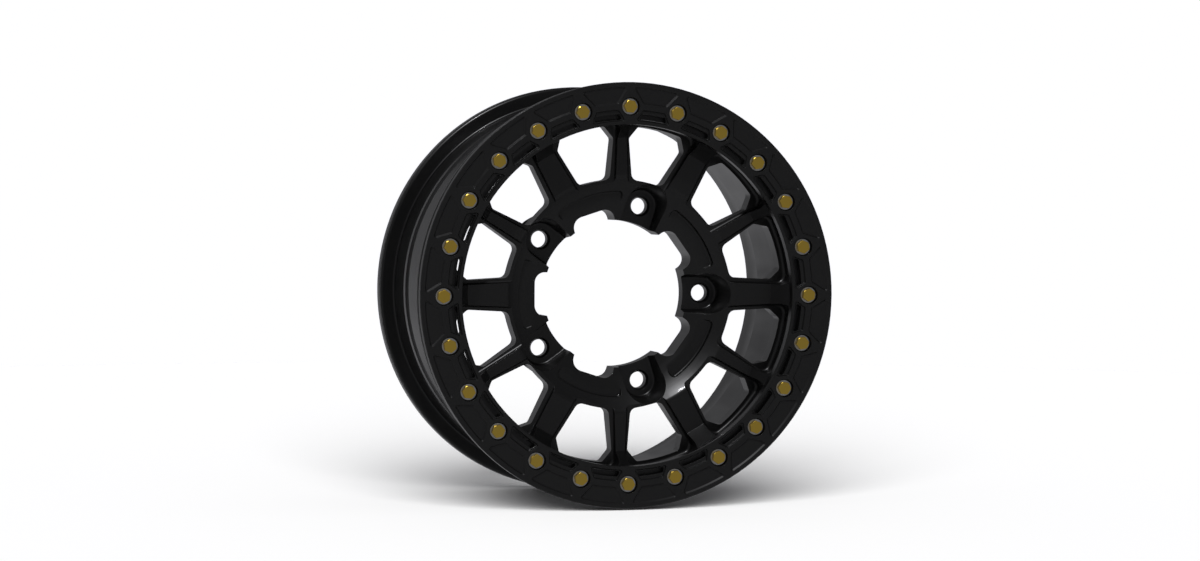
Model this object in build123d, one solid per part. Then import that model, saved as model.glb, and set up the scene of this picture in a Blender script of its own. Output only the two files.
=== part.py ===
from build123d import *
from math import cos, radians, sin, sqrt, tan
import os

# Beadlock wheel, 17 x 8.5 inches, five lugs on 205 mm, all sizes in millimetres.
# It is modelled lying on its back: the axle is Z, z = 0 is the hub's mounting face
# and +Z points out to the street side. The finished pieces are then stood up, so that
# the street side faces -Y and +Z is up.

# Hub
BORE_D = 164.0
LUG_CIRCLE_D = 205.0
LUG_COUNT = 5
LUG_HOLE_D = 18.5
LUG_SEAT_D = 23.0
LUG_SEAT_ANGLE = 60.0
LUG_PAD_T = 15.0
LUG_POCKET_W = 37.0
LUG_POCKET_DRAFT = 9.5
LUG_POCKET_FILLET = 3.0
LUG_BOSS_D = 49.0
HUB_PAD_D = 236.0
HUB_DRAFT = 7.0
HUB_NOSE_Z = 31.3
HUB_DISH_R = 132.0

# Through scallops in the bore and shallow arc recesses outside them, between the lugs
SCALLOP_D = 187.0
SCALLOP_W = 48.0
SCALLOP_CORNER_R = 11.5
RECESS_OUTER_D = 228.8
RECESS_BAND = 18.0
RECESS_FLOOR_Z = 38.5
RECESS_HALF_ANGLE = 20.3
RECESS_CORNER_R = 5.0
RECESS_FILLET = 2.5

# Spokes: wide and narrow ones take turns, each a raised rib between two coved ledges
SPOKE_PAIRS = 6
SPOKE_FACE_Z = 54.5
SPOKE_BEND_D = 259.6
SPOKE_BEND_ROUND = 7.5
SPOKE_RAMP_D = 346.0
WEB_T = 22.0
HUB_WEB_T = 28.5
WIDE_RIB_W = 26.0
WIDE_RIB_TAPER = 2.4
NARROW_RIB_W = 13.6
NARROW_RIB_TAPER = 1.8
POCKET_DEPTH = 4.5
POCKET_COVE_R = 4.0
POCKET_CORNER_R = 11.0

# Windows between the spokes, widths measured at the hub end
WINDOW_INNER_D = 253.4
WINDOW_OUTER_D = 372.6
WIDE_SPOKE_W = 37.2
WIDE_SPOKE_TAPER = 3.0
NARROW_SPOKE_W = 25.3
NARROW_SPOKE_TAPER = 4.6
WINDOW_CHAMFER_W = 12.0
WINDOW_CHAMFER_L = 13.8
WINDOW_HUB_R = 8.0
WINDOW_RIM_R = 5.0

# Rim and barrel
RING_SEAT_Z = 81.0
LIP_BORE_D = 386.0
SHELF_D = 434.0
SHELF_W = 23.0
STOP_FLANGE_D = 459.6
STOP_FLANGE_T = 7.0
FRONT_SHOULDER_D = 432.0
FRONT_SLOPE_W = 25.0
WELL_D = 406.0
WELL_BORE_D = 396.0
WELL_BACK_Z = -69.5
WELL_BACK_SLOPE_W = 15.0
REAR_LAND_W = 13.0
SEAT_STEP_H = 1.6
SEAT_STEP_W = 2.6
BEAD_SEAT_D = 436.4
BEAD_SEAT_W = 38.4
BEAD_SEAT_ANGLE = 5.0
REAR_LAND_ROUND = 2.0
FLANGE_D = 470.4
FLANGE_W = 17.5
FLANGE_HEEL_R = 6.5
FLANGE_CURL_R = 9.5
FLANGE_EDGE_R = 1.5
REAR_BORE_D = 425.0
REAR_BORE_W = 28.0
REAR_FLARE_W = 13.0
MID_BORE_D = 412.0
MID_BORE_W = 28.0
MID_FLARE_W = 18.0
WEB_FILLET = 8.0

# Valve hole, drilled aslant from the outer wall of one window to the slope of the well
VALVE_HOLE_D = 11.5
VALVE_ANGLE = 196.0
VALVE_LEAN = 20.0
VALVE_MOUTH_Z = 41.2

# Beadlock ring
RING_D = 466.0
RING_BORE_D = 373.6
RING_T = 10.0
RING_ROUND = 1.0
RING_EDGE_BREAK = 0.8

# Ring bolts and washers
BOLT_COUNT = 24
BOLT_CIRCLE_D = 413.0
BOLT_D = 8.0
BOLT_LENGTH = 30.0
HEAD_AF = 13.0
HEAD_H = 4.0
HEAD_TURN = 24.0
HEAD_CHAMFER_ANGLE = 30.0
WASHER_D = 17.4
WASHER_T = 1.6
WASHER_CLEARANCE = 0.3
COUNTERBORE_D = 20.2
COUNTERBORE_DEPTH = 5.6
HOLE_CLEARANCE = 0.5
THREAD_CLEARANCE = 0.1
THREAD_RUNOUT = 3.0

# Shallow pockets and drain slots in the ring, between the bolts
RING_POCKET_INNER_D = 418.6
RING_POCKET_BAND = 18.6
RING_POCKET_OUTER_HALF_ANGLE = 6.8
RING_POCKET_INNER_HALF_ANGLE = 3.62
RING_POCKET_DEPTH = 1.6
RING_POCKET_WALL = 1.6
RING_POCKET_CORNER_R = 2.4
SLOT_RECESS_INNER_D = 380.8
SLOT_RECESS_BAND = 12.6
SLOT_RECESS_OUTER_HALF_ANGLE = 3.64
SLOT_RECESS_INNER_HALF_ANGLE = 5.9
SLOT_RECESS_CORNER_R = 2.2
SLOT_RECESS_DEPTH = 2.0
SLOT_RECESS_WALL = 1.2
SLOT_MARGIN = 1.6
SLOT_BAND = 6.2
SLOT_OUTER_HALF_ANGLE = 4.0
SLOT_INNER_HALF_ANGLE = 4.8
SLOT_CORNER_R = 2.2

# Derived places
POCKET_FLOOR_Z = SPOKE_FACE_Z - POCKET_DEPTH
WEB_BACK_Z = SPOKE_FACE_Z - WEB_T
HUB_BACK_Z = SPOKE_FACE_Z - HUB_WEB_T
RING_FACE_Z = RING_SEAT_Z + RING_T
COUNTERBORE_Z = RING_FACE_Z - COUNTERBORE_DEPTH
HEAD_SEAT_Z = COUNTERBORE_Z + WASHER_T
BOLT_PITCH = 360 / BOLT_COUNT
SPOKE_PITCH = 360 / (2 * SPOKE_PAIRS)
LUG_PITCH = 360 / LUG_COUNT
SEAT_STEP_Z = WELL_BACK_Z - WELL_BACK_SLOPE_W - REAR_LAND_W - SEAT_STEP_W
FLANGE_FACE_Z = SEAT_STEP_Z - BEAD_SEAT_W
WHEEL_BACK_Z = FLANGE_FACE_Z - FLANGE_W
CUT_REACH = RING_FACE_Z - WHEEL_BACK_Z


def polar(radius, angle):
    """Point at a radius and an angle in degrees, in the plane of the wheel."""
    return (radius * cos(radians(angle)), radius * sin(radians(angle)))


def around(count, tool, start=0.0):
    """Copies of a tool, evenly spaced about the axle."""
    return [Rot(0, 0, start + 360 / count * k) * tool for k in range(count)]


def at(sketch, *points):
    """The corners of a sketch that lie nearest to the given points."""
    return [sketch.vertices().sort_by_distance((x, y, 0))[0] for x, y in points]


def turned(points, rounds, dishes=None):
    """Solid of revolution from (radius, z) points, with corner rounds as {point index: radius}.
    Dishes, as {point index: radius}, bow the side from that point to the next."""
    outline = []
    for index, start in enumerate(points):
        end = points[(index + 1) % len(points)]
        dish_r = (dishes or {}).get(index)
        outline.append(RadiusArc(start, end, dish_r) if dish_r else Line(start, end))
    profile = make_face(outline)
    for index, radius in rounds.items():
        profile = fillet(at(profile, points[index]), radius)
    return revolve(Plane.XZ * profile, Axis.Z)


def sector(inner_r, outer_r, inner_half, outer_half, corner_r, inset=0.0):
    """Ring sector about the X axis with slanted ends and round corners, drawn in by an inset."""
    hub = Vector(*polar(inner_r, inner_half))
    run = (Vector(*polar(outer_r, outer_half)) - hub).normalized()
    hub = hub + Vector(run.Y, -run.X) * inset

    def end_at(radius):
        along = hub.dot(run)
        point = hub + run * (sqrt(along**2 - hub.dot(hub) + radius**2) - along)
        return point.X, point.Y

    near_r, far_r = inner_r + inset, outer_r - inset
    near_x, near_y = end_at(near_r)
    far_x, far_y = end_at(far_r)
    outline = [
        Line((near_x, -near_y), (far_x, -far_y)),
        ThreePointArc((far_x, -far_y), (far_r, 0), (far_x, far_y)),
        Line((far_x, far_y), (near_x, near_y)),
        ThreePointArc((near_x, near_y), (near_r, 0), (near_x, -near_y)),
    ]
    face = make_face(outline)
    return fillet(face.vertices(), corner_r - inset)


def spoke_side(width, taper, radius, angle, side):
    """Point on one edge of a tapered spoke: the width holds at the hub end of the windows."""
    half = width / 2 - (radius - WINDOW_INNER_D / 2) * tan(radians(taper))
    x, y = radius, side * half
    c, s = cos(radians(angle)), sin(radians(angle))
    return (x * c - y * s, x * s + y * c)


def along_arc(point, radius, distance):
    """Point moved along the circle of a radius about the axle, anticlockwise if positive."""
    turn = distance / radius
    return (point[0] * cos(turn) - point[1] * sin(turn), point[0] * sin(turn) + point[1] * cos(turn))


def towards(start, end, distance):
    """Point on the way from start to end."""
    run = Vector(*end) - Vector(*start)
    step = Vector(*start) + run.normalized() * distance
    return (step.X, step.Y)


def window_face():
    """Window between the wide spoke at 0 degrees and the next narrow spoke."""
    inner_r, outer_r = WINDOW_INNER_D / 2, WINDOW_OUTER_D / 2
    wide_hub = spoke_side(WIDE_SPOKE_W, WIDE_SPOKE_TAPER, inner_r, 0, 1)
    wide_rim = spoke_side(WIDE_SPOKE_W, WIDE_SPOKE_TAPER, outer_r, 0, 1)
    narrow_hub = spoke_side(NARROW_SPOKE_W, NARROW_SPOKE_TAPER, inner_r, SPOKE_PITCH, -1)
    narrow_rim = spoke_side(NARROW_SPOKE_W, NARROW_SPOKE_TAPER, outer_r, SPOKE_PITCH, -1)
    rim_start = along_arc(wide_rim, outer_r, WINDOW_CHAMFER_W)
    rim_end = along_arc(narrow_rim, outer_r, -WINDOW_CHAMFER_W)
    wide_end = towards(wide_rim, wide_hub, WINDOW_CHAMFER_L)
    narrow_end = towards(narrow_rim, narrow_hub, WINDOW_CHAMFER_L)
    outline = [
        Line(wide_hub, wide_end),
        Line(wide_end, rim_start),
        ThreePointArc(rim_start, polar(Vector(*rim_start).length, SPOKE_PITCH / 2), rim_end),
        Line(rim_end, narrow_end),
        Line(narrow_end, narrow_hub),
        ThreePointArc(narrow_hub, polar(Vector(*narrow_hub).length, SPOKE_PITCH / 2), wide_hub),
    ]
    face = make_face(outline)
    face = fillet(at(face, wide_hub, narrow_hub), WINDOW_HUB_R)
    return fillet(at(face, wide_end, rim_start, rim_end, narrow_end), WINDOW_RIM_R)


def pocket_tool():
    """Cutter for the recess round one window: ribs at its sides, the rim lip outside."""
    inner_r, outer_r = WINDOW_INNER_D / 2, LIP_BORE_D / 2
    wide_hub = spoke_side(WIDE_RIB_W, WIDE_RIB_TAPER, inner_r - POCKET_CORNER_R, 0, 1)
    wide_rim = spoke_side(WIDE_RIB_W, WIDE_RIB_TAPER, outer_r, 0, 1)
    narrow_hub = spoke_side(NARROW_RIB_W, NARROW_RIB_TAPER, inner_r - POCKET_CORNER_R, SPOKE_PITCH, -1)
    narrow_rim = spoke_side(NARROW_RIB_W, NARROW_RIB_TAPER, outer_r, SPOKE_PITCH, -1)
    outline = [
        Line(wide_hub, wide_rim),
        ThreePointArc(wide_rim, polar(Vector(*wide_rim).length, SPOKE_PITCH / 2), narrow_rim),
        Line(narrow_rim, narrow_hub),
        Line(narrow_hub, wide_hub),
    ]
    face = make_face(outline)
    face = fillet(at(face, wide_rim, narrow_rim), POCKET_CORNER_R)
    tool = extrude(Pos(0, 0, POCKET_FLOOR_Z) * face, RING_FACE_Z - POCKET_FLOOR_Z)
    return fillet(tool.edges().group_by(Axis.Z)[0], POCKET_COVE_R)


def mirrored_pairs(tool):
    """A tool in the gap after each wide spoke, and its mirror image in the gap before it."""
    return around(SPOKE_PAIRS, tool) + around(SPOKE_PAIRS, mirror(tool, Plane.XZ))


def lug_cutters():
    """Drafted pocket open to the bore, cone seat and hole, for the lug at 0 degrees."""
    lug_r = LUG_CIRCLE_D / 2
    half = LUG_POCKET_W / 2
    floor = Pos(lug_r, 0) * Circle(half) + Pos(lug_r / 2, 0) * Rectangle(lug_r, LUG_POCKET_W)
    pocket = extrude(Pos(0, 0, LUG_PAD_T) * floor, SPOKE_FACE_Z - LUG_PAD_T, taper=-LUG_POCKET_DRAFT)
    pocket = fillet(pocket.edges().group_by(Axis.Z)[0], LUG_POCKET_FILLET)
    seat_h = (LUG_SEAT_D - LUG_HOLE_D) / 2 / tan(radians(LUG_SEAT_ANGLE / 2))
    seat = Pos(lug_r, 0, LUG_PAD_T - seat_h / 2) * Cone(LUG_HOLE_D / 2, LUG_SEAT_D / 2, seat_h)
    hole = Pos(lug_r, 0, LUG_PAD_T / 2) * Cylinder(LUG_HOLE_D / 2, 2 * LUG_PAD_T)
    return [pocket, seat, hole]


def scallop_tool():
    """Straight-walled notch through the bore, halfway between two lugs."""
    depth = SCALLOP_D / 2
    face = Pos(depth / 2, 0) * Rectangle(depth, SCALLOP_W)
    face = fillet(face.vertices().group_by(Axis.X)[-1], SCALLOP_CORNER_R)
    return extrude(face, CUT_REACH, both=True)


def recess_tool():
    """Flat-floored arc recess that runs out into the dished hub face."""
    outer_r = RECESS_OUTER_D / 2
    half = RECESS_HALF_ANGLE
    face = sector(outer_r - RECESS_BAND, outer_r, half, half, RECESS_CORNER_R)
    tool = extrude(Pos(0, 0, RECESS_FLOOR_Z) * face, SPOKE_FACE_Z - RECESS_FLOOR_Z)
    return fillet(tool.edges().group_by(Axis.Z)[0], RECESS_FILLET)


def valve_tool():
    """Drill that leans back from the middle of a window's outer wall towards the well."""
    reach = WELL_D / 2 - WINDOW_OUTER_D / 2 + 2 * VALVE_HOLE_D
    drill = Pos(0, 0, reach / 2 - VALVE_HOLE_D) * Cylinder(VALVE_HOLE_D / 2, reach)
    mouth = Pos(WINDOW_OUTER_D / 2, 0, VALVE_MOUTH_Z)
    return Rot(0, 0, VALVE_ANGLE) * mouth * Rot(0, 90 + VALVE_LEAN, 0) * drill


def wheel():
    """One casting: hub, twelve spokes, rim and barrel."""
    bore_r, well_r, seat_r = BORE_D / 2, WELL_D / 2, BEAD_SEAT_D / 2
    pad_r = HUB_PAD_D / 2
    stop_front = RING_SEAT_Z - SHELF_W
    stop_back = stop_front - STOP_FLANGE_T
    seat_end_r = seat_r - BEAD_SEAT_W * tan(radians(BEAD_SEAT_ANGLE))
    land_r = seat_end_r - SEAT_STEP_H
    land_end_r = land_r - REAR_LAND_W * tan(radians(BEAD_SEAT_ANGLE))
    mid_back = WHEEL_BACK_Z + REAR_BORE_W + REAR_FLARE_W
    mid_front = mid_back + MID_BORE_W
    points = [
        (bore_r, 0),
        (pad_r, 0),
        (pad_r + HUB_BACK_Z * tan(radians(HUB_DRAFT)), HUB_BACK_Z),
        (WELL_BORE_D / 2, WEB_BACK_Z),
        (WELL_BORE_D / 2, mid_front + MID_FLARE_W),
        (MID_BORE_D / 2, mid_front),
        (MID_BORE_D / 2, mid_back),
        (REAR_BORE_D / 2, WHEEL_BACK_Z + REAR_BORE_W),
        (REAR_BORE_D / 2, WHEEL_BACK_Z),
        (FLANGE_D / 2, WHEEL_BACK_Z),
        (FLANGE_D / 2, FLANGE_FACE_Z),
        (seat_r, FLANGE_FACE_Z),
        (seat_end_r, SEAT_STEP_Z),
        (land_r, SEAT_STEP_Z + SEAT_STEP_W),
        (land_end_r, WELL_BACK_Z - WELL_BACK_SLOPE_W),
        (well_r, WELL_BACK_Z),
        (well_r, stop_back - FRONT_SLOPE_W),
        (FRONT_SHOULDER_D / 2, stop_back),
        (STOP_FLANGE_D / 2, stop_back),
        (STOP_FLANGE_D / 2, stop_front),
        (SHELF_D / 2, stop_front),
        (SHELF_D / 2, RING_SEAT_Z),
        (LIP_BORE_D / 2, RING_SEAT_Z),
        (SPOKE_RAMP_D / 2, SPOKE_FACE_Z),
        (SPOKE_BEND_D / 2, SPOKE_FACE_Z),
        (bore_r, HUB_NOSE_Z),
    ]
    rounds = {
        3: WEB_FILLET,
        9: FLANGE_EDGE_R,
        10: FLANGE_CURL_R,
        11: FLANGE_HEEL_R,
        14: REAR_LAND_ROUND,
        18: STOP_FLANGE_T / 3,
        19: STOP_FLANGE_T / 3,
        24: SPOKE_BEND_ROUND,
    }
    body = turned(points, rounds, {24: HUB_DISH_R})
    boss_top_r = LUG_BOSS_D / 2 + HUB_BACK_Z * tan(radians(HUB_DRAFT))
    boss = Pos(LUG_CIRCLE_D / 2, 0, HUB_BACK_Z / 2) * Cone(LUG_BOSS_D / 2, boss_top_r, HUB_BACK_Z)
    body = body + around(LUG_COUNT, boss)
    body = body - mirrored_pairs(pocket_tool())
    body = body - mirrored_pairs(extrude(Pos(0, 0, LUG_PAD_T) * window_face(), RING_FACE_Z - LUG_PAD_T))
    for tool in lug_cutters():
        body = body - around(LUG_COUNT, tool)
    body = body - around(LUG_COUNT, scallop_tool(), LUG_PITCH / 2)
    body = body - around(LUG_COUNT, recess_tool(), LUG_PITCH / 2)
    thread_depth = BOLT_LENGTH - (HEAD_SEAT_Z - RING_SEAT_Z) + THREAD_RUNOUT
    thread = Cylinder(BOLT_D / 2 + THREAD_CLEARANCE, thread_depth)
    thread = Pos(BOLT_CIRCLE_D / 2, 0, RING_SEAT_Z - thread_depth / 2) * thread
    body = body - around(BOLT_COUNT, thread)
    return body - valve_tool()


def shallow_tool(outline, depth, wall):
    """Cutter for a shallow sector in the ring's face, with walls that slope by their width."""
    top = Pos(0, 0, RING_FACE_Z) * sector(*outline)
    floor = Pos(0, 0, RING_FACE_Z - depth) * sector(*outline, inset=wall)
    return loft([floor, top], ruled=True)


def slot_tool():
    """Straight cutter for a drain slot through the floor of a slot recess."""
    halves = (SLOT_INNER_HALF_ANGLE, SLOT_OUTER_HALF_ANGLE)
    inner_r = SLOT_RECESS_INNER_D / 2 + SLOT_MARGIN
    face = sector(inner_r, inner_r + SLOT_BAND, *halves, SLOT_CORNER_R)
    return extrude(Pos(0, 0, RING_SEAT_Z) * face, RING_T)


def beadlock_ring():
    """Clamp ring: a plate bolted to the rim's face, which overhangs it to hold the tyre's outer bead."""
    points = [
        (RING_BORE_D / 2, RING_SEAT_Z),
        (RING_D / 2, RING_SEAT_Z),
        (RING_D / 2, RING_FACE_Z),
        (RING_BORE_D / 2, RING_FACE_Z),
    ]
    body = turned(points, {1: RING_ROUND, 2: RING_ROUND, 3: RING_EDGE_BREAK})
    bolt_r = BOLT_CIRCLE_D / 2
    hole = Pos(bolt_r, 0, RING_SEAT_Z + RING_T / 2) * Cylinder(BOLT_D / 2 + HOLE_CLEARANCE, RING_T)
    counterbore = Cylinder(COUNTERBORE_D / 2, COUNTERBORE_DEPTH)
    counterbore = Pos(bolt_r, 0, RING_FACE_Z - COUNTERBORE_DEPTH / 2) * counterbore
    pocket = (
        RING_POCKET_INNER_D / 2,
        RING_POCKET_INNER_D / 2 + RING_POCKET_BAND,
        RING_POCKET_INNER_HALF_ANGLE,
        RING_POCKET_OUTER_HALF_ANGLE,
        RING_POCKET_CORNER_R,
    )
    recess = (
        SLOT_RECESS_INNER_D / 2,
        SLOT_RECESS_INNER_D / 2 + SLOT_RECESS_BAND,
        SLOT_RECESS_INNER_HALF_ANGLE,
        SLOT_RECESS_OUTER_HALF_ANGLE,
        SLOT_RECESS_CORNER_R,
    )
    pocket_cut = shallow_tool(pocket, RING_POCKET_DEPTH, RING_POCKET_WALL)
    recess_cut = shallow_tool(recess, SLOT_RECESS_DEPTH, SLOT_RECESS_WALL)
    body = body - around(BOLT_COUNT, hole) - around(BOLT_COUNT, counterbore)
    for tool in (pocket_cut, recess_cut, slot_tool()):
        body = body - around(BOLT_COUNT, tool, BOLT_PITCH / 2)
    return body


def ring_bolt():
    """Hexagon head bolt at 0 degrees, head up in its counterbore."""
    corner_r = HEAD_AF / 2 / cos(radians(30))
    head = extrude(RegularPolygon(HEAD_AF / 2, 6, major_radius=False, rotation=HEAD_TURN), HEAD_H)
    cone_h = corner_r * tan(radians(HEAD_CHAMFER_ANGLE))
    point_z = HEAD_H + HEAD_AF / 2 * tan(radians(HEAD_CHAMFER_ANGLE))
    trim_h = point_z - cone_h
    trim = turned([(0, 0), (corner_r, 0), (corner_r, trim_h), (0, point_z)], {})
    shank = Pos(0, 0, -BOLT_LENGTH / 2) * Cylinder(BOLT_D / 2, BOLT_LENGTH)
    return Pos(BOLT_CIRCLE_D / 2, 0, HEAD_SEAT_Z) * ((head & trim) + shank)


def ring_washer():
    """Plain washer at 0 degrees, on the floor of its counterbore."""
    ring = Circle(WASHER_D / 2) - Circle(BOLT_D / 2 + WASHER_CLEARANCE)
    return extrude(Pos(BOLT_CIRCLE_D / 2, 0, COUNTERBORE_Z) * ring, WASHER_T)


def stand_up(shapes):
    """The pieces with the street side turned to -Y."""
    solids = [solid for shape in shapes for solid in (Rot(90, 0, 0) * shape).solids()]
    return solids[0] if len(solids) == 1 else Compound(children=solids)


nodes = {
    "wheel": [wheel()],
    "beadlock_ring": [beadlock_ring()],
    "ring_bolts": around(BOLT_COUNT, ring_bolt()),
    "ring_washers": around(BOLT_COUNT, ring_washer()),
}

os.makedirs("parts", exist_ok=True)
for name, shapes in nodes.items():
    export_step(stand_up(shapes), os.path.join("parts", name + ".step"))
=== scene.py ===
# %% [markdown]
# # A beadlock wheel in satin black
# An off-road wheel has a cast centre with twelve spokes, and a separate ring that is bolted to its front.
# The ring clamps the tyre's outer bead, so the tyre can't slip off the rim at low pressure.
# The solid model gives the shapes. This lesson dresses it: smooth shading, soft edges, coats of paint,
# plated bolts, a studio and a camera. The first cell loads the imported model.

from math import radians

import bmesh
import bpy
from mathutils import Matrix, Vector


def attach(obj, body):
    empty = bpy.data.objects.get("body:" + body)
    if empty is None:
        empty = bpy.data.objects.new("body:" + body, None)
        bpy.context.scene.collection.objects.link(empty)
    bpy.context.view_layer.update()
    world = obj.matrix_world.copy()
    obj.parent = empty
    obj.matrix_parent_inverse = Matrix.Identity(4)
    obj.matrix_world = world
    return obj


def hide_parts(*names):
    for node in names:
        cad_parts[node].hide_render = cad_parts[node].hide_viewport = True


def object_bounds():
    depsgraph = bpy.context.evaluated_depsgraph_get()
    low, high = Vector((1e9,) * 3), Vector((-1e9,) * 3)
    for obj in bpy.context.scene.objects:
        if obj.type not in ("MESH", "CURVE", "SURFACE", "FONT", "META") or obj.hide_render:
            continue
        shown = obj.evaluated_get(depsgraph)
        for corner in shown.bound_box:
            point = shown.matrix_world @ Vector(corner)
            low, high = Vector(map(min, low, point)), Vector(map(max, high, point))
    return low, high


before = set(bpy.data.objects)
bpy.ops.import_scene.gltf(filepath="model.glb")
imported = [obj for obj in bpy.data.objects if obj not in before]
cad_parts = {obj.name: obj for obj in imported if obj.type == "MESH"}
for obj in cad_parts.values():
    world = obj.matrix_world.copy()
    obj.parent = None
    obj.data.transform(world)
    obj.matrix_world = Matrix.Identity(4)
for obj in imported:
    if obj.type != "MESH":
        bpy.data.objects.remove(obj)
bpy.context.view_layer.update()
print("nodes:", sorted(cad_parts))

# %% [markdown]
# ## The camera
# The wheel is seen from a little to the left of its axle and slightly above it, through a long lens, which
# keeps its circles nearly true. A camera is placed by three facts: where it stands, what it looks at, and
# how it is rolled. `to_track_quat` turns the line of sight into a rotation, and the roll is added about it.

# %% Camera
camera_place = Vector((-0.81440, -3.05758, 0.11499))
camera_aim = Vector((-0.03390, -0.09100, 0.01677))
camera_roll = radians(0.3315)
sensor_mm, lens_mm = 36.0, 84.61

camera_data = bpy.data.cameras.new("camera")
camera_data.sensor_width = sensor_mm
camera_data.lens = lens_mm
camera = bpy.data.objects.new("camera", camera_data)
bpy.context.scene.collection.objects.link(camera)
sight = (camera_aim - camera_place).to_track_quat("-Z", "Y").to_matrix()
turned = sight @ Matrix.Rotation(camera_roll, 3, "Z")
camera.matrix_world = Matrix.Translation(camera_place) @ turned.to_4x4()
bpy.context.scene.camera = camera
print("camera stands", round(camera_place.length, 2), "m from the hub")

# %% [markdown]
# ## Nodes without clutter
# A material is a small graph of nodes. Three helpers keep the graphs readable. The first adds a node and sets
# its options and constant inputs, the second starts a material and hands back its shader. The third maps a
# value from one range to another, which is how a pattern becomes a roughness, or a height a brightness.

# %% Helpers for node graphs
def add_node(tree, kind, inputs=None, **options):
    node = tree.nodes.new(kind)
    for option, value in options.items():
        setattr(node, option, value)
    for socket, value in (inputs or {}).items():
        node.inputs[socket].default_value = value
    return node


def start_material(name, **constants):
    material = bpy.data.materials.new(name)
    material.use_nodes = True
    shader = material.node_tree.nodes["Principled BSDF"]
    for socket, value in constants.items():
        shader.inputs[socket.replace("_", " ")].default_value = value
    return material, material.node_tree, shader


def map_range(tree, value, reach, levels, **options):
    limits = dict(zip(("From Min", "From Max", "To Min", "To Max"), (*reach, *levels)))
    node = add_node(tree, "ShaderNodeMapRange", limits, **options)
    tree.links.new(value, node.inputs["Value"])
    return node.outputs["Result"]


print("helpers:", ", ".join(helper.__name__ for helper in (add_node, start_material, map_range)))

# %% [markdown]
# ## What the finishes share
# No real finish is even. `noise` is a soft pattern in the piece's own coordinates, so it stays put when the
# piece moves. `vary_gloss` turns a pattern into roughness; noise rarely leaves its middle, so that middle is
# stretched over the whole range. `soften_edges` rounds the shading of every edge with a Bevel node and lays
# a fine relief over it with a Bump node. Real bevels on every edge would cost far more triangles.

# %% Patterns, gloss and soft edges
noise_middle = (0.3, 0.7)


def noise(tree, scale, detail):
    place = add_node(tree, "ShaderNodeTexCoord")
    pattern = add_node(tree, "ShaderNodeTexNoise", {"Scale": scale, "Detail": detail})
    tree.links.new(place.outputs["Object"], pattern.inputs["Vector"])
    return pattern.outputs["Fac"]


def vary_gloss(tree, shader, pattern, roughness_range):
    tree.links.new(map_range(tree, pattern, noise_middle, roughness_range), shader.inputs["Roughness"])


def soften_edges(tree, shader, radius, samples, relief, strength, depth):
    bevel = add_node(tree, "ShaderNodeBevel", {"Radius": radius}, samples=samples)
    bump = add_node(tree, "ShaderNodeBump", {"Strength": strength, "Distance": depth})
    tree.links.new(relief, bump.inputs["Height"])
    tree.links.new(bevel.outputs["Normal"], bump.inputs["Normal"])
    tree.links.new(bump.outputs["Normal"], shader.inputs["Normal"])
    return bevel.outputs["Normal"]


def mix_colours(tree, factor, first, second):
    mix = add_node(tree, "ShaderNodeMix", {"A": (*first, 1.0), "B": (*second, 1.0)}, data_type="RGBA")
    tree.links.new(factor, mix.inputs["Factor"])
    return mix.outputs["Result"]


print("noise is stretched from", noise_middle)

# %% [markdown]
# ## Satin black coat
# Powder coat is sprayed on as dust and melted in an oven. It flows out smooth, but keeps a faint orange peel,
# and its gloss varies a little over the surface. On sharp edges it draws thin and looks a shade lighter.
# The orange peel is a fine noise. The edges are found by comparing the rounded normal with the true one: on
# a flat face they agree, and their dot product is one. The ring has a slightly duller coat than the wheel.

# %% Powder coat
cloud_scale, peel_scale = 16.0, 520.0
peel_strength, peel_depth = 0.12, 0.00005
flat_match, edge_match = 0.99, 0.85


def powder_coat(name, grey, edge_grey, roughness_range, edge_radius):
    material, tree, shader = start_material(name, Coat_Weight=0.07, Coat_Roughness=0.06)
    vary_gloss(tree, shader, noise(tree, cloud_scale, 3.0), roughness_range)
    peel = noise(tree, peel_scale, 2.0)
    rounded = soften_edges(tree, shader, edge_radius, 6, peel, peel_strength, peel_depth)
    tree.links.new(rounded, shader.inputs["Coat Normal"])

    geometry = add_node(tree, "ShaderNodeNewGeometry")
    match = add_node(tree, "ShaderNodeVectorMath", operation="DOT_PRODUCT")
    tree.links.new(rounded, match.inputs[0])
    tree.links.new(geometry.outputs["Normal"], match.inputs[1])
    edge = map_range(tree, match.outputs["Value"], (flat_match, edge_match), (0.0, 1.0))
    tree.links.new(mix_colours(tree, edge, [grey] * 3, [edge_grey] * 3), shader.inputs["Base Color"])
    return material


wheel_coat = powder_coat("satin_black_coat", 0.0046, 0.008, (0.29, 0.35), 0.0005)
ring_coat = powder_coat("ring_black_coat", 0.0052, 0.009, (0.33, 0.39), 0.0004)
print("coats:", wheel_coat.name, ring_coat.name)

# %% [markdown]
# ## Yellow zinc and plain zinc
# The bolts are zinc plated and passivated, which leaves a thin golden film whose tint drifts from bolt to
# bolt. The washers are plain zinc, a light grey. Both are metals: the base colour tints the reflection.
# A slow noise drifts the tint, and a fine one breaks up the gloss and gives the relief.

# %% Plated metals
drift_scale, grain_scale = 45.0, 900.0
grain_strength, grain_depth = 0.15, 0.00004
plated_edge_radius = 0.0003


def plated(name, tint, drift_tint, roughness_range):
    material, tree, shader = start_material(name, Metallic=1.0)
    film = mix_colours(tree, noise(tree, drift_scale, 4.0), tint, drift_tint)
    tree.links.new(film, shader.inputs["Base Color"])
    grain = noise(tree, grain_scale, 3.0)
    vary_gloss(tree, shader, grain, roughness_range)
    soften_edges(tree, shader, plated_edge_radius, 4, grain, grain_strength, grain_depth)
    return material


bolt_zinc = plated("yellow_zinc", (0.90, 0.595, 0.088), (0.81, 0.58, 0.113), (0.30, 0.42))
washer_zinc = plated("plain_zinc", (0.72, 0.72, 0.71), (0.62, 0.63, 0.63), (0.25, 0.36))
print("plated metals:", bolt_zinc.name, washer_zinc.name)

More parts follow.
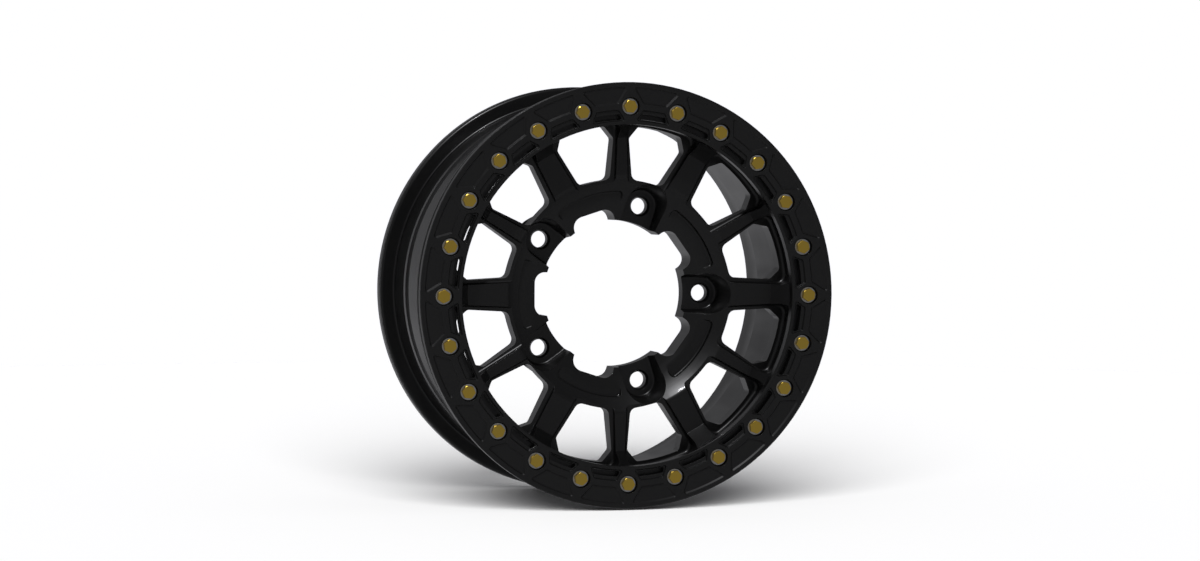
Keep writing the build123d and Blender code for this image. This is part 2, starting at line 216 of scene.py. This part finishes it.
# %% [markdown]
# ## Two cuts of the lathe
# After casting, a wheel is turned on a lathe. Two of the cuts are made here, on a copy of the casting: the
# five lug pads end on the plain circle of the hub's bore, and the rear flange gets a flat face with small
# rounds at its heel and its edge. No new faces are needed. Vertices inside the bore move out to its circle,
# and a round shrinks when its vertices are scaled towards the corner that it rounds off. The axle runs
# along Y, so `co.xz` is a vertex's place across the wheel.

# %% Bore and flange
bore_radius = 0.082
flange_face_y = 0.1385
heel_corner, heel_span = 0.2182, 0.0062
lip_corner, lip_span = 0.2352, 0.0096
round_shrink = 0.4


def clear_bore(bm):
    inside = [vert for vert in bm.verts if vert.co.xz.length < bore_radius]
    for vert in inside:
        vert.co.xz = vert.co.xz.normalized() * bore_radius
    bmesh.ops.dissolve_degenerate(bm, dist=2e-6, edges=bm.edges)
    print("bore:", len(inside), "vertices on or inside its circle")


def tighten_round(bm, corner_radius, span):
    moved = 0
    for vert in bm.verts:
        radius = vert.co.xz.length
        across, along = radius - corner_radius, vert.co.y - flange_face_y
        if max(abs(across), abs(along)) < span:
            vert.co.xz *= (corner_radius + round_shrink * across) / radius
            vert.co.y = flange_face_y + round_shrink * along
            moved += 1
    print("flange round at", corner_radius, "m:", moved, "vertices")


def turn_on_lathe(bm):
    clear_bore(bm)
    tighten_round(bm, heel_corner, heel_span)
    tighten_round(bm, lip_corner, lip_span)


# %% [markdown]
# ## Smooth castings from loose triangles
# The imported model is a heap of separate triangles, so it shades as flat facets. A copy is merged into one
# skin, its round parts are shaded smooth, and edges sharper than a set angle stay crisp. A Weighted Normal
# modifier then lets the large flat faces decide the shading, so the small rounds beside them blend in
# without smudging the flats. Each copy stands in for its solid.

# %% Copies that shade smoothly
merge_distance = 2e-6


def dressed(node, piece_name, material, sharp_angle, finish_shape=None):
    bm = bmesh.new()
    bm.from_mesh(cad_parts[node].data)
    bmesh.ops.remove_doubles(bm, verts=bm.verts, dist=merge_distance)
    if finish_shape:
        finish_shape(bm)
    for face in bm.faces:
        face.smooth = True
    for edge in bm.edges:
        edge.smooth = edge.is_manifold and edge.calc_face_angle() < sharp_angle
    mesh = bpy.data.meshes.new(piece_name)
    bm.to_mesh(mesh)
    bm.free()
    mesh.materials.append(material)
    piece = bpy.data.objects.new(piece_name, mesh)
    bpy.context.scene.collection.objects.link(piece)
    even = piece.modifiers.new("even_shading", "WEIGHTED_NORMAL")
    even.keep_sharp = True
    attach(piece, "root")
    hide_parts(node)
    print(piece_name, len(mesh.polygons), "triangles")
    return piece


casting = dressed("wheel", "wheel_casting", wheel_coat, radians(24), turn_on_lathe)
clamp_ring = dressed("beadlock_ring", "clamp_ring", ring_coat, radians(24))
bolts = dressed("ring_bolts", "clamp_bolts", bolt_zinc, radians(20))
washers = dressed("ring_washers", "clamp_washers", washer_zinc, radians(24))

# %% [markdown]
# ## Floor
# The wheel stands on a plain white floor, which shows only the soft shadow under the barrel. Mirror-like
# rays pass through it to the studio beyond, so it doesn't throw a glare up at the black coat.

# %% Floor
floor_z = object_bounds()[0][2]
floor_radius = 2.6
floor_level = 0.97

bm = bmesh.new()
bmesh.ops.create_circle(bm, cap_ends=True, segments=96, radius=floor_radius)
bmesh.ops.translate(bm, verts=bm.verts, vec=(0, 0, floor_z))
floor_mesh = bpy.data.meshes.new("floor")
bm.to_mesh(floor_mesh)
bm.free()
floor_white, _, floor_shader = start_material("floor_white", Roughness=0.9, Specular_IOR_Level=0.0)
floor_shader.inputs["Base Color"].default_value = (floor_level, floor_level, floor_level, 1.0)
floor_mesh.materials.append(floor_white)
floor = bpy.data.objects.new("floor", floor_mesh)
floor.visible_glossy = False
bpy.context.scene.collection.objects.link(floor)
print("floor at", round(floor_z, 4))

# %% [markdown]
# ## Which way a ray looks
# The studio is painted on the world, so its graph starts from the direction of a ray. Height is the
# direction's Z. The compass turn is an angle from the left, growing towards the back, and comes from an
# Arctan2 node: its first input is how far the ray goes back, its second how far it goes left.

# %% Direction of a ray
world = bpy.data.worlds.new("studio")
bpy.context.scene.world = world
world.use_nodes = True
sky = world.node_tree
way = add_node(sky, "ShaderNodeTexCoord")
axes = add_node(sky, "ShaderNodeSeparateXYZ")
leftward = add_node(sky, "ShaderNodeMath", {1: -1.0}, operation="MULTIPLY")
turn = add_node(sky, "ShaderNodeMath", operation="ARCTAN2")
sky.links.new(way.outputs["Generated"], axes.inputs["Vector"])
sky.links.new(axes.outputs["X"], leftward.inputs[0])
sky.links.new(axes.outputs["Y"], turn.inputs[0])
sky.links.new(leftward.outputs["Value"], turn.inputs[1])
print("world:", world.name)

# %% [markdown]
# ## Sectors and blends
# A sector of the compass is a mask: the turn of a ray is compared with the sector's middle, and the mask
# fades from one to zero round the sector's half width. `blend` mixes two brightness levels by a mask, and
# either level may be a number or the output of a node.

# %% Helpers for the studio
sector_fade = radians(4)


def sector(middle, half_width):
    beside = add_node(sky, "ShaderNodeMath", {1: middle}, operation="SUBTRACT")
    away = add_node(sky, "ShaderNodeMath", operation="ABSOLUTE")
    sky.links.new(turn.outputs["Value"], beside.inputs[0])
    sky.links.new(beside.outputs["Value"], away.inputs[0])
    border = (half_width + sector_fade, half_width - sector_fade)
    return map_range(sky, away.outputs["Value"], border, (0.0, 1.0), interpolation_type="SMOOTHSTEP")


def blend(mask, first, second):
    mix = add_node(sky, "ShaderNodeMix")
    sky.links.new(mask, mix.inputs["Factor"])
    for socket, value in (("A", first), ("B", second)):
        if isinstance(value, float):
            mix.inputs[socket].default_value = value
        else:
            sky.links.new(value, mix.inputs[socket])
    return mix.outputs["Result"]


print("helpers:", sector.__name__, blend.__name__)

# %% [markdown]
# ## Studio light
# The world is an even dome for the diffuse light, and plain white to the camera. Mirror-like rays see a
# studio instead: a dim room, a little paler near the ground and at the back, with one tall white wall at the
# left and a black flag beside it, as photographers call a board that keeps light away. A black coat shows
# little but what it mirrors. So the room keeps its faces dark, the wall draws the pale band on the slope that
# faces left, and the flag keeps the bead seat dark.

# %% World
dome_level = 0.22
height_reach, depth_reach = (-0.3, 0.3), (-0.2, 0.5)
front_levels, back_levels, wall_levels = (0.21, 0.12), (0.45, 0.20), (2.6, 1.7)
wall_turn, wall_half_width = radians(19), radians(7)
flag_level = 0.03
flag_turn, flag_half_width = radians(48), radians(17)
backdrop_tint = (1.0, 1.0, 1.035, 1.0)

front_room = map_range(sky, axes.outputs["Z"], height_reach, front_levels)
back_room = map_range(sky, axes.outputs["Z"], height_reach, back_levels)
wall = map_range(sky, axes.outputs["Z"], height_reach, wall_levels)
room = blend(map_range(sky, axes.outputs["Y"], depth_reach, (0.0, 1.0)), front_room, back_room)
flagged = blend(sector(flag_turn, flag_half_width), room, flag_level)
studio = blend(sector(wall_turn, wall_half_width), flagged, wall)

ray = add_node(sky, "ShaderNodeLightPath")
mirrored = add_node(sky, "ShaderNodeMath", operation="ADD", use_clamp=True)
sky.links.new(ray.outputs["Is Glossy Ray"], mirrored.inputs[0])
sky.links.new(ray.outputs["Is Transmission Ray"], mirrored.inputs[1])
light = blend(mirrored.outputs["Value"], dome_level, studio)
backdrop = sky.nodes["Background"]
backdrop.inputs["Color"].default_value = backdrop_tint
sky.links.new(blend(ray.outputs["Is Camera Ray"], light, 1.0), backdrop.inputs["Strength"])
bpy.context.scene.view_settings.view_transform = "Standard"
print("dome", dome_level, "wall", wall_levels, "room", front_levels, back_levels)

# %% [markdown]
# ## Lamps
# One small key lamp, high and to the left, draws the bright spot on the dished hub and the fine lines on the
# edges that face it. It lights the wheel alone. A broad lamp from the front left lights the floor alone, so
# the wheel throws one soft shadow back and to the right, and none towards the camera. Light linking keeps
# the two apart: each lamp names a collection of the objects that receive it.

# %% Lamps
def add_lamp(name, kind, direction, distance, receivers, **settings):
    data = bpy.data.lights.new(name, kind)
    for setting, value in settings.items():
        setattr(data, setting, value)
    lamp = bpy.data.objects.new(name, data)
    bpy.context.scene.collection.objects.link(lamp)
    place = Vector(direction).normalized() * distance
    aim = (-place).to_track_quat("-Z", "Y").to_matrix().to_4x4()
    lamp.matrix_world = Matrix.Translation(place) @ aim
    lit = bpy.data.collections.new(name + "_receivers")
    for receiver in receivers:
        lit.objects.link(receiver)
    lamp.light_linking.receiver_collection = lit
    print("lamp:", name, data.energy)


key_direction, key_distance = (-0.2914, -0.5185, 0.8038), 2.92
key_settings = {"shape": "DISK", "size": 0.18, "energy": 31.5, "color": (0.97, 0.97, 1.0)}
floor_direction, floor_distance = (-0.226, -0.787, 0.574), 2.0
floor_settings = {"angle": radians(46), "energy": 4.45}
add_lamp("key", "AREA", key_direction, key_distance, (casting, clamp_ring, bolts, washers), **key_settings)
add_lamp("floor_light", "SUN", floor_direction, floor_distance, (floor,), **floor_settings)
